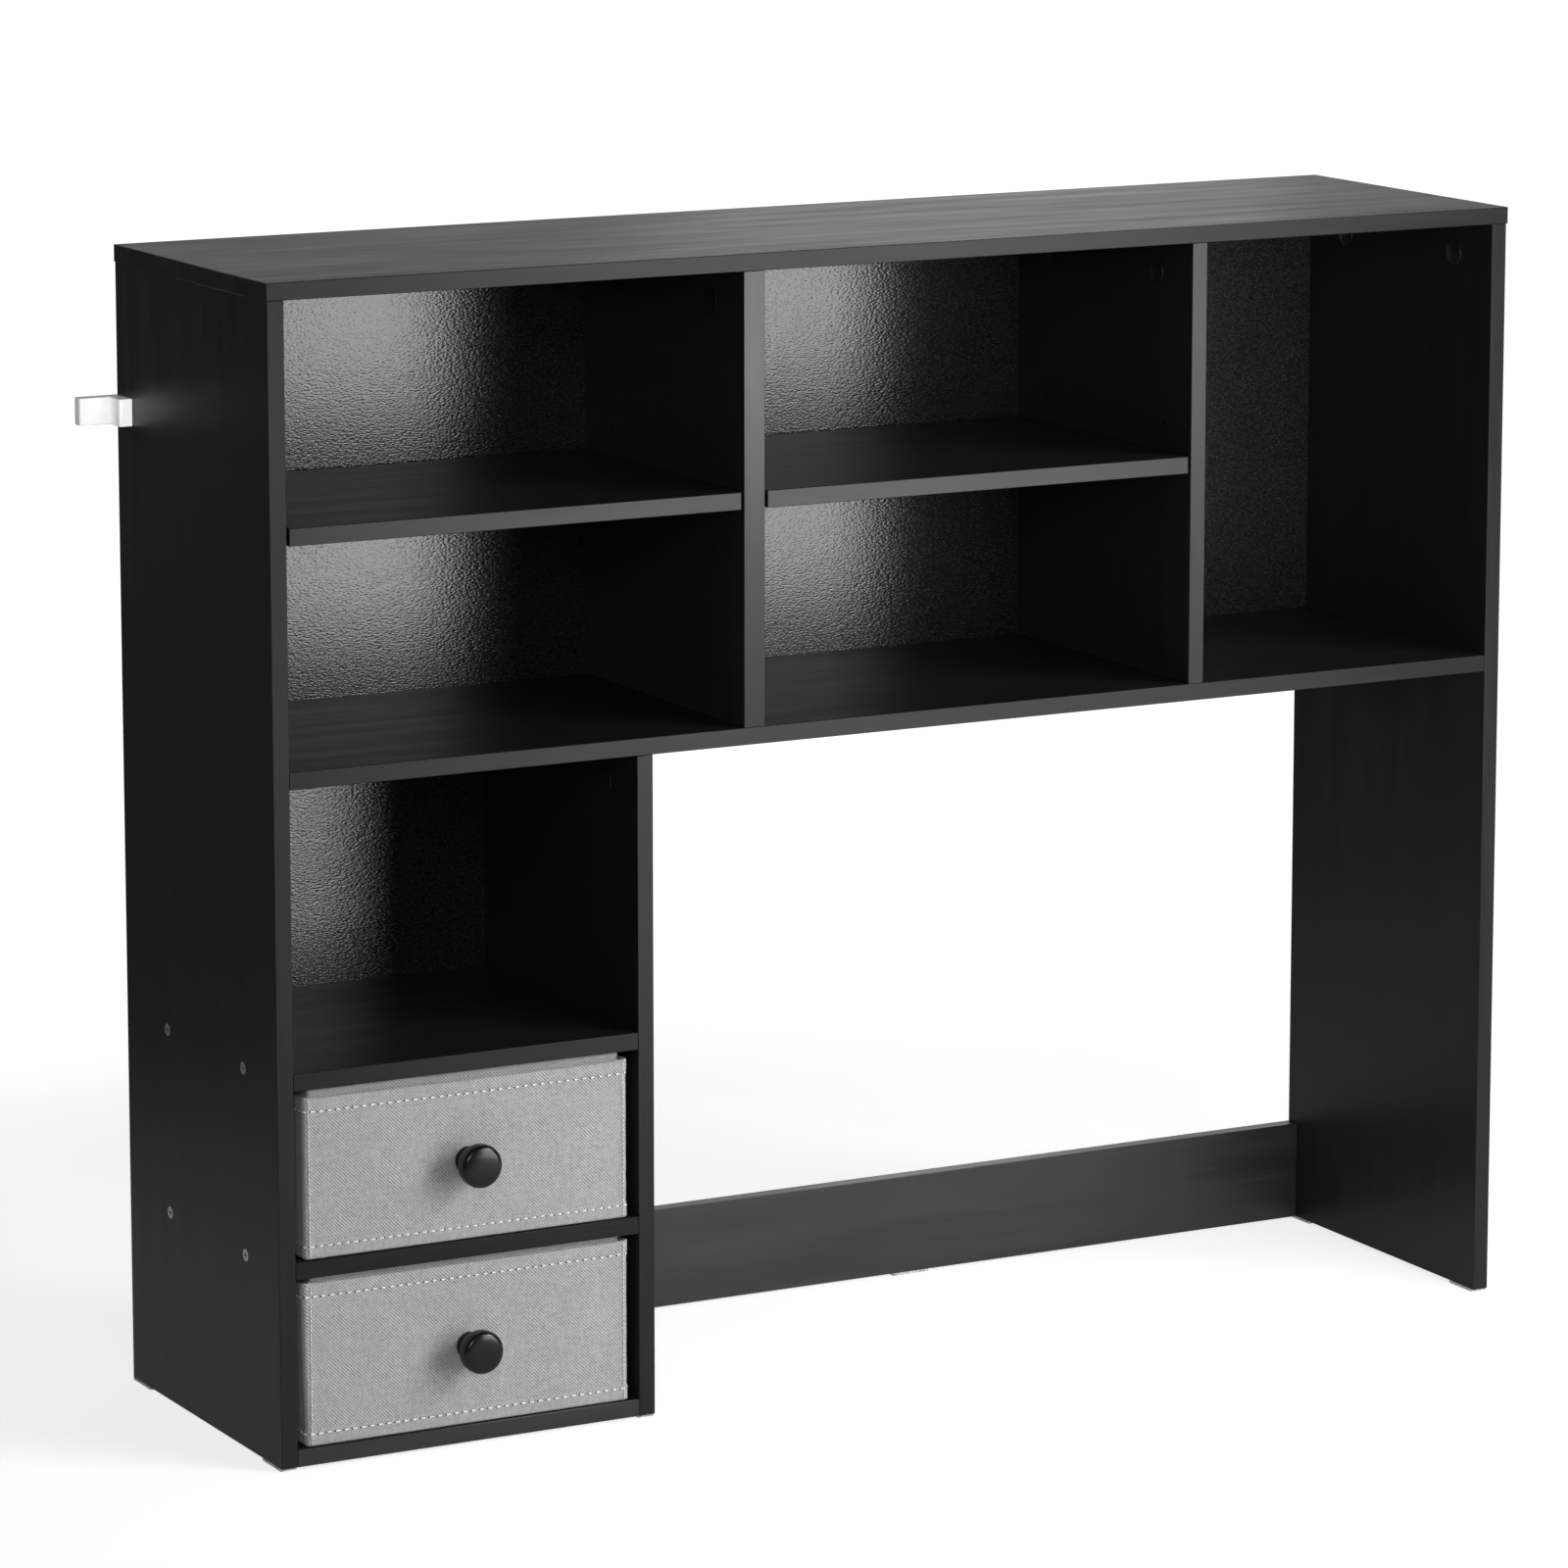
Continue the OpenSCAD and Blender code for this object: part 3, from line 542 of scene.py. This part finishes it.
def ring(x0, x1, y0, y1, r, step):
    """Points round a rounded rectangle, from the middle of its back, each with its outward
    direction, and the length run up to each point."""
    pts = []

    def line(a, b, n):
        count = max(2, int((Vector(b) - Vector(a)).length / step))
        for i in range(count):
            pts.append((Vector(a).lerp(Vector(b), i / count), Vector(n)))

    def arc(cx, cy, a0, a1, count=7):
        for i in range(count):
            a = math.radians(a0 + (a1 - a0) * i / count)
            n = Vector((math.cos(a), math.sin(a)))
            pts.append((Vector((cx, cy)) + n * r, n))

    mid = (x0 + x1) / 2
    line((mid, y1), (x0 + r, y1), (0, 1))
    arc(x0 + r, y1 - r, 90, 180)
    line((x0, y1 - r), (x0, y0 + r), (-1, 0))
    arc(x0 + r, y0 + r, 180, 270)
    line((x0 + r, y0), (x1 - r, y0), (0, -1))
    arc(x1 - r, y0 + r, 270, 360)
    line((x1, y0 + r), (x1, y1 - r), (1, 0))
    arc(x1 - r, y1 - r, 0, 90)
    line((x1 - r, y1), (mid, y1), (0, 1))
    run = [0.0]
    for (a, _), (b, _) in zip(pts, pts[1:] + pts[:1]):
        run.append(run[-1] + (b - a).length)
    return pts, run


def smoothstep(a, b, x):
    t = min(1.0, max(0.0, (x - a) / (b - a)))
    return t * t * (3 - 2 * t)


def along_wall(z, h):
    """1 over most of a wall of height h, fading to 0 at its foot and its top edge."""
    return smoothstep(0.5 * MM, 3 * MM, z) * smoothstep(h, h - 2 * MM, z)


def bell(x, width):
    """A smooth bump, 1 at zero and nearly gone two widths away."""
    return math.exp(-((x / width) ** 2))


class Drawer:
    """The sewn parts of one drawer: outer cloth with hems, lining, and their seams."""

    HEM, FOOT = 9 * MM, 11 * MM
    LINING_RISE = 1.3 * MM
    PITCH, STITCH, CORNER_PITCH = 6.3 * MM, 4.3 * MM, 3.2 * MM
    CREASE = 4 * MM  # how far below the upper hem stitches the cloth is creased
    OUTER_T, LINING_T = 1.35 * MM, 1.4 * MM
    CORNER = 3 * MM  # radius of the upright corners

    def __init__(self, which, seed, widen, taller):
        self.seed, self.widen = seed, widen
        self.body = which + "_drawer"
        self.low, self.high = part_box(self.body + "_shell")
        self.tall = self.high.z - self.low.z + taller
        lining_low, lining_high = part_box(self.body + "_lining")
        self.lining_tall = lining_high.z - lining_low.z + taller + self.LINING_RISE
        self.cx = (self.low.x + self.high.x) / 2

    def corner(self, p):
        """Distance in plan from the nearest upright corner."""
        dx = min(abs(p.x - self.low.x), abs(p.x - self.high.x))
        dy = min(abs(p.y - self.low.y), abs(p.y - self.high.y))
        return math.hypot(dx, dy)

    def puff(self, p, n, z, run):
        """How far the outer cloth stands out from its board."""
        h = self.tall
        inside = smoothstep(4 * MM, 40 * MM, self.corner(p))
        belly = math.sin(math.pi * min(1, max(0, z / h)))
        out = 0.35 * MM * inside * belly
        q = Vector((run * 22, z * 26, self.seed))
        out += 0.42 * MM * noise.noise(q) * inside
        out += 0.16 * MM * noise.noise(q * 3.3)
        top, foot = h - self.HEM, self.FOOT
        out += 0.5 * MM * smoothstep(top - 0.3 * MM, top + 1.2 * MM, z)
        out += 0.45 * MM * smoothstep(foot + 0.6 * MM, foot - 1.2 * MM, z)
        pull = 0.7 + 0.3 * math.cos(2 * math.pi * run / self.PITCH)
        out -= 0.34 * MM * pull * bell(z - top, 1.1 * MM)
        out -= 0.36 * MM * bell(z - top + self.CREASE, 0.6 * MM)
        out -= 0.3 * MM * pull * bell(z - foot + 2.2 * MM, 1.1 * MM)
        out -= 0.22 * MM * bell(z - foot - 0.7 * MM, 0.6 * MM)
        if abs(n.y) > 0.9 and p.y < 0:
            away = math.hypot(p.x - self.cx, z - (self.high.z - self.low.z) / 2)
            out *= smoothstep(9 * MM, 26 * MM, away)
        c = self.corner(p)
        seam = along_wall(z, h)
        out += 0.55 * MM * bell(c - 3.6 * MM, 0.9 * MM) * seam
        out -= 0.4 * MM * bell(c - 6.2 * MM, 1.2 * MM) * seam
        lean = self.widen * smoothstep(0, h, z)
        if n.x < -0.3:
            out += lean * -n.x
        return max(out, -0.25 * MM)

    def lift(self, p, run):
        """How far the top edge stands above its nominal height."""
        c = self.corner(p)
        up = 0.9 * MM * bell(c, 8 * MM)
        return up + 0.45 * MM * noise.noise(Vector((run * 30, 5.1, self.seed)))

    def point(self, p, n, run, z, extra=0.0):
        d = self.puff(p, n, z, run) + extra
        h = self.tall
        rise = self.lift(p, run) * smoothstep(h - 16 * MM, h, z)
        return Vector((p.x + n.x * d, p.y + n.y * d, self.low.z + z + rise))

    def rows(self):
        """Heights of the cloth's rings, close together at the stitches and creases."""
        h, top, foot = self.tall, self.tall - self.HEM, self.FOOT
        rows = [1.1, 2.2, 4, 6, 7.6, 8.4, 8.8, 9.2, 10, 10.9, 11.4, 11.7, 12.0, 12.6]
        rows = [r * MM for r in rows]
        z = foot + 4 * MM
        while z < top - 7 * MM:
            rows.append(z)
            z += 3 * MM
        rows += [top + d * MM for d in
                 (-6, -5, -4.5, -4, -3.5, -3, -1.8, -1, -0.5, 0, 0.5, 1, 1.8, 4, 6.5, 8, 8.7)]
        return [r for r in rows if r < h - 0.2 * MM]

    def make_shell(self):
        pts, run = ring(
            self.low.x, self.high.x, self.low.y, self.high.y, self.CORNER, 2.1 * MM
        )
        bm = bmesh.new()
        uv = bm.loops.layers.uv.new("UVMap")
        count, t = len(pts), self.OUTER_T
        rings, heights = [], []

        def ring_at(points, z):
            rings.append([bm.verts.new(q) for q in points])
            heights.append(z)

        base = self.low.z
        # underside, turned up into the outer wall
        ring_at([(p.x - n.x * 2.6 * MM, p.y - n.y * 2.6 * MM, base) for p, n in pts], -2 * MM)
        ring_at([(p.x - n.x * 0.9 * MM, p.y - n.y * 0.9 * MM, base + 0.15 * MM)
                 for p, n in pts], 0.2 * MM)
        for z in self.rows():
            ring_at([self.point(p, n, r, z) for (p, n), r in zip(pts, run)], z)
        h = self.tall
        for lift, inset in ((-0.1, 0.12), (0.25, 0.5), (0.3, 0.9), (0.0, 1.3)):
            ring_at(
                [self.point(p, n, r, h, -inset * MM) + Vector((0, 0, lift * MM))
                 for (p, n), r in zip(pts, run)], h + inset * MM,
            )
        for z in (h - 2 * MM, h - 9 * MM, h - 30 * MM, h * 0.5, 20 * MM, 6 * MM, 1.6 * MM):
            ring_at([(p.x - n.x * t, p.y - n.y * t, base + z) for p, n in pts], 2 * h - z)
        for a, b, za, zb in zip(rings, rings[1:], heights, heights[1:]):
            for i in range(count):
                j = (i + 1) % count
                f = bm.faces.new((a[i], a[j], b[j], b[i]))
                mid = (za + zb) / 2
                sign = -1 if mid < self.FOOT + 0.6 * MM else 1
                for loop, (s, z) in zip(
                    f.loops, ((run[i], za), (run[i + 1], za), (run[i + 1], zb), (run[i], zb))
                ):
                    loop[uv].uv = (-s, sign * z)
        for row in (rings[0], rings[-1]):
            lid = bm.faces.new(row)
            for loop in lid.loops:
                loop[uv].uv = (loop.vert.co.x, loop.vert.co.y)
        bmesh.ops.recalc_face_normals(bm, faces=bm.faces)
        bmesh.ops.triangulate(bm, faces=[f for f in bm.faces if len(f.verts) > 4])
        mesh = bpy.data.meshes.new(self.body + "_outer_cloth")
        bm.to_mesh(mesh)
        bm.free()
        mesh.shade_smooth()
        mesh.set_sharp_from_angle(angle=math.radians(70))
        piece = new_piece(self.body + "_outer_cloth", mesh)
        dress(piece, CLOTH)
        return piece

    def make_lining(self):
        low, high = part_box(self.body + "_lining")
        pts, run = ring(low.x, high.x, low.y, high.y, self.CORNER, 4 * MM)
        bm = bmesh.new()
        uv = bm.loops.layers.uv.new("UVMap")
        count, h, rings = len(pts), self.lining_tall, []
        t = self.LINING_T

        def wobble(r, z):
            return 0.25 * MM * noise.noise(Vector((r * 25, z * 20, self.seed + 9)))

        def ring_at(inset, z, tops):
            row = []
            for (p, n), r in zip(pts, run):
                bend = wobble(r, z) - 0.25 * MM if tops else 0
                up = 0.4 * MM * noise.noise(Vector((r * 18, 3, self.seed + 4))) if tops else 0
                row.append(bm.verts.new((
                    p.x - n.x * (inset - bend), p.y - n.y * (inset - bend), low.z + z + up)))
            rings.append((row, z))

        ring_at(0, 0, False)
        for z in (10 * MM, h * 0.5, h - 12 * MM):
            ring_at(0.02 * MM, z, False)
        for inset, dz in (
            (0.05, -4.4), (0.9, -4.1), (0.9, -3.0), (0.05, -2.7), (0.1, -1), (0.25, -0.2),
            (0.7, 0.05), (1.2, -0.2),
        ):
            ring_at(inset * MM, h + dz * MM, True)
        for z in (h - 4 * MM, h - 12 * MM, h * 0.5, 12 * MM, 1.5 * MM):
            ring_at(t, z, False)
        for (a, za), (b, zb) in zip(rings, rings[1:]):
            for i in range(count):
                j = (i + 1) % count
                f = bm.faces.new((a[i], a[j], b[j], b[i]))
                # faces of the groove under the lining's top rim get the dark seam material: painted
                # shade of the gap between outer cloth and lining
                f.material_index = int(h - 4.2 * MM < (za + zb) / 2 < h - 2.9 * MM)
                for loop, (s, z) in zip(
                    f.loops, ((run[i], za), (run[i + 1], za), (run[i + 1], zb), (run[i], zb))
                ):
                    loop[uv].uv = (-s, z)
        for row, _ in (rings[0], rings[-1]):
            lid = bm.faces.new(row)
            for loop in lid.loops:
                loop[uv].uv = (loop.vert.co.x, loop.vert.co.y)
        bmesh.ops.recalc_face_normals(bm, faces=bm.faces)
        bmesh.ops.triangulate(bm, faces=[f for f in bm.faces if len(f.verts) > 4])
        mesh = bpy.data.meshes.new(self.body + "_inner_cloth")
        bm.to_mesh(mesh)
        bm.free()
        mesh.shade_smooth()
        mesh.set_sharp_from_angle(angle=math.radians(60))
        piece = new_piece(self.body + "_inner_cloth", mesh)
        dress(piece, LINING, SEAM_SHADE)
        return piece

    def path(self, z, start, extra):
        """Points of the outer cloth at one height, from the length start on."""
        pts, run = ring(
            self.low.x, self.high.x, self.low.y, self.high.y, self.CORNER, 1.05 * MM
        )
        out = []
        for (p, n), r in zip(pts, run):
            if r >= start:
                out.append(self.point(p, n, r, z, extra))
        return out

    def make_stitches(self):
        top, foot = self.tall - self.HEM, self.FOOT - 2.2 * MM
        thread = [self.path(z, 0.0, 0.12 * MM) for z in (top, foot)]
        # the dark dots at the needle holes between stitches are painted shade of the dimpled cloth,
        # not a colour of the thread or fabric
        holes = [self.path(z, self.PITCH / 2, 0.1 * MM) for z in (top, foot)]
        ups = []
        for cx, sx in ((self.low.x, 1), (self.high.x, -1)):
            for cy, sy in ((self.low.y, 1), (self.high.y, -1)):
                p = Vector((cx + sx * 3.4 * MM, cy))
                n = Vector((0, -1 if sy > 0 else 1))
                line, z = [], 3 * MM
                while z < self.tall - 2 * MM:
                    line.append(self.point(p, n, 0.3, z, 0.1 * MM))
                    z += 2 * MM
                ups.append(line)
        return [
            sew(self.body + "_hem_stitches", thread, self.PITCH, self.STITCH, 0.5 * MM, THREAD),
            sew(self.body + "_stitch_shade_dots", holes, self.PITCH, 1.4 * MM, 0.62 * MM, SEAM_SHADE),
            sew(self.body + "_corner_stitches", ups, self.CORNER_PITCH, 3.0 * MM, 0.3 * MM, THREAD),
        ]

    def build(self):
        shell, lining = self.make_shell(), self.make_lining()
        stitches = self.make_stitches()
        hand_over(shell, self.body, "drawer_fabric", self.body + "_shell")
        hand_over(lining, self.body, "lining_fabric", self.body + "_lining")
        for s in stitches:
            hand_over(s, self.body, "drawer_fabric")


Drawer("upper", 3.7, 0.0, 0.0).build()
Drawer("lower", 11.3, 2.4 * MM, 2.2 * MM).build()


# ---- knobs ----


def turned(name, profile, segments, centre):
    """A closed solid of revolution about Y through the centre; the profile gives (radius, out)."""
    bm = bmesh.new()
    rings = []
    for r, out in profile:
        y = centre.y - out
        if r < 1e-7:
            rings.append([bm.verts.new((centre.x, y, centre.z))])
        else:
            rings.append([
                bm.verts.new((centre.x + r * math.cos(a), y, centre.z + r * math.sin(a)))
                for a in (2 * math.pi * i / segments for i in range(segments))
            ])
    for a, b in zip(rings, rings[1:]):
        for i in range(segments):
            j = (i + 1) % segments
            if len(a) == 1:
                bm.faces.new((a[0], b[j], b[i]))
            elif len(b) == 1:
                bm.faces.new((a[i], a[j], b[0]))
            else:
                bm.faces.new((a[i], a[j], b[j], b[i]))
    bmesh.ops.recalc_face_normals(bm, faces=bm.faces)
    mesh = bpy.data.meshes.new(name)
    bm.to_mesh(mesh)
    bm.free()
    mesh.shade_smooth()
    mesh.set_sharp_from_angle(angle=math.radians(50))
    return new_piece(name, mesh)


def rounded_profile(points, per=7):
    """A smooth curve through the points, by Catmull-Rom."""
    pts = [Vector(p) for p in points]
    pts = [2 * pts[0] - pts[1]] + pts + [2 * pts[-1] - pts[-2]]
    out = []
    for a, b, c, d in zip(pts, pts[1:], pts[2:], pts[3:]):
        for i in range(per):
            t = i / per
            out.append(0.5 * (
                2 * b + (c - a) * t + (2 * a - 5 * b + 4 * c - d) * t * t
                + (3 * b - a - 3 * c + d) * t ** 3))
    return out + [pts[-2]]


# radius and distance out from the knob's back face, in millimetres
KNOB_SIDE = [
    (9.3, 1.8), (8.6, 3.6), (7.6, 5.8), (7.2, 8.4), (7.8, 10.8), (9.8, 12.8), (12.6, 14.0),
    (14.4, 15.4), (15.0, 17.4), (15.0, 20.4), (14.7, 22.6), (13.6, 24.2), (11.8, 25.1),
    (8.6, 25.6), (4.4, 25.85), (0.0, 25.9),
]
for which in ("upper", "lower"):
    low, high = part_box(which + "_drawer_knob")
    centre = Vector(((low.x + high.x) / 2, high.y, (low.z + high.z) / 2))
    side = [(max(0.0, p.x) * MM, p.y * MM) for p in rounded_profile(KNOB_SIDE)]
    side[-1] = (0.0, side[-1][1])
    side = [(0.0, 0.0), (9.2 * MM, 0.0), (9.5 * MM, 0.3 * MM), (9.5 * MM, 1.2 * MM)] + side
    knob = turned(which + "_turned_knob", side, 96, centre)
    dress(knob, KNOB)
    hand_over(knob, which + "_drawer", "knob_plastic", which + "_drawer_knob")


# ---- floor, world and lights ----

FLOOR_HALF = 14.0
floor_mesh = bpy.data.meshes.new("studio_floor")
floor_mesh.from_pydata(
    [(x * FLOOR_HALF, y * FLOOR_HALF, 0) for x, y in ((-1, -1), (1, -1), (1, 1), (-1, 1))],
    [], [(0, 1, 2, 3)],
)
floor = new_piece("studio_floor", floor_mesh)


# the floor changes from its near to its far values between these distances from the middle
FLOOR_NEAR, FLOOR_FAR = 0.75, 1.4


def floor_material():
    """Pale floor: soft shadows round the object, and plain white farther away. Near the object it
    carries a painted pool of light: a paler colour, and a glow that only rays other than the
    camera's see; both fade out farther away.
    """
    m = bpy.data.materials.new("white_floor")
    m.use_nodes = True
    t = m.node_tree
    t.nodes.clear()
    add, link = t.nodes.new, t.links.new
    out, diffuse, glow, both = (
        add("ShaderNodeOutputMaterial"), add("ShaderNodeBsdfDiffuse"),
        add("ShaderNodeEmission"), add("ShaderNodeAddShader"),
    )
    place, path = add("ShaderNodeTexCoord"), add("ShaderNodeLightPath")
    away = add("ShaderNodeVectorMath")
    away.operation = "LENGTH"
    link(place.outputs["Object"], away.inputs[0])
    # painted pool of light round the object: paler colour and an off-camera glow, fading with
    # distance; lift keeps the floor white to the camera
    painted_pool_colour, lift, painted_pool_glow = (add("ShaderNodeMapRange") for _ in range(3))
    for node, near, far in ((painted_pool_colour, 0.5, 0.2), (lift, 0.74, 1.05), (painted_pool_glow, 0.24, 0.0)):
        node.interpolation_type = "SMOOTHSTEP"
        link(away.outputs["Value"], node.inputs[0])
        for index, value in ((1, FLOOR_NEAR), (2, FLOOR_FAR), (3, near), (4, far)):
            node.inputs[index].default_value = value
    link(painted_pool_colour.outputs[0], diffuse.inputs["Color"])
    seen = add("ShaderNodeMix")
    link(path.outputs["Is Camera Ray"], seen.inputs[0])
    link(painted_pool_glow.outputs[0], seen.inputs[2])
    link(lift.outputs[0], seen.inputs[3])
    link(seen.outputs[0], glow.inputs["Strength"])
    link(diffuse.outputs[0], both.inputs[0])
    link(glow.outputs[0], both.inputs[1])
    link(both.outputs[0], out.inputs["Surface"])
    return m


dress(floor, floor_material())

WORLD_LIGHT, WORLD_SEEN = 0.12, 1.32
world = bpy.data.worlds.new("studio")
scene.world = world
world.use_nodes = True
tree = world.node_tree
tree.nodes.clear()
sky_out, sky, rays, level = (
    tree.nodes.new("ShaderNode" + kind)
    for kind in ("OutputWorld", "Background", "LightPath", "MapRange")
)
level.inputs[3].default_value = WORLD_LIGHT
level.inputs[4].default_value = WORLD_SEEN
tree.links.new(rays.outputs["Is Camera Ray"], level.inputs[0])
tree.links.new(level.outputs[0], sky.inputs["Strength"])
tree.links.new(sky.outputs[0], sky_out.inputs["Surface"])


def softbox(name, place, aim, width, height, power):
    data = bpy.data.lights.new(name, "AREA")
    data.shape = "RECTANGLE"
    data.size, data.size_y = width, height
    data.energy = power
    lamp = bpy.data.objects.new(name, data)
    scene.collection.objects.link(lamp)
    lamp.location = place
    lamp.visible_camera = False
    lamp.rotation_euler = (Vector(aim) - Vector(place)).to_track_quat("-Z", "Y").to_euler()


softbox("front_right_strip", (0.525, -1.2, 0.54), (0.525, 0, 0.54), 0.85, 1.0, 18)
softbox("key", (2.2, -2.3, 2.1), (-0.25, 0, 0.3), 1.1, 1.1, 51)
softbox("rear_wide", (1.9, 3.4, 1.15), (0.1, 0, 0.8), 2.4, 1.3, 7.3)
softbox("rear_centre", (2.05, 3.38, 1.15), (0.1, 0, 0.8), 0.8, 1.3, 2.5)
softbox("rear_fill", (-2.6, 3.6, 2.3), (0, 0, 0.4), 1.5, 1.5, 30)
softbox("camera_fill", (-1.95, -3.7, 1.7), (0, 0, 0.4), 1.2, 1.2, 34)

spot = bpy.data.lights.new("bracket_spot", "SPOT")
spot.energy, spot.spot_size, spot.spot_blend = 480, math.radians(5), 0.4
spot.shadow_soft_size = 0.05
spot_lamp = bpy.data.objects.new("bracket_spot", spot)
scene.collection.objects.link(spot_lamp)
spot_lamp.location = (-1.5, -3.5, 0.95)
spot_lamp.rotation_euler = (
    Vector((-0.585, 0.13, 0.688)) - spot_lamp.location
).to_track_quat("-Z", "Y").to_euler()
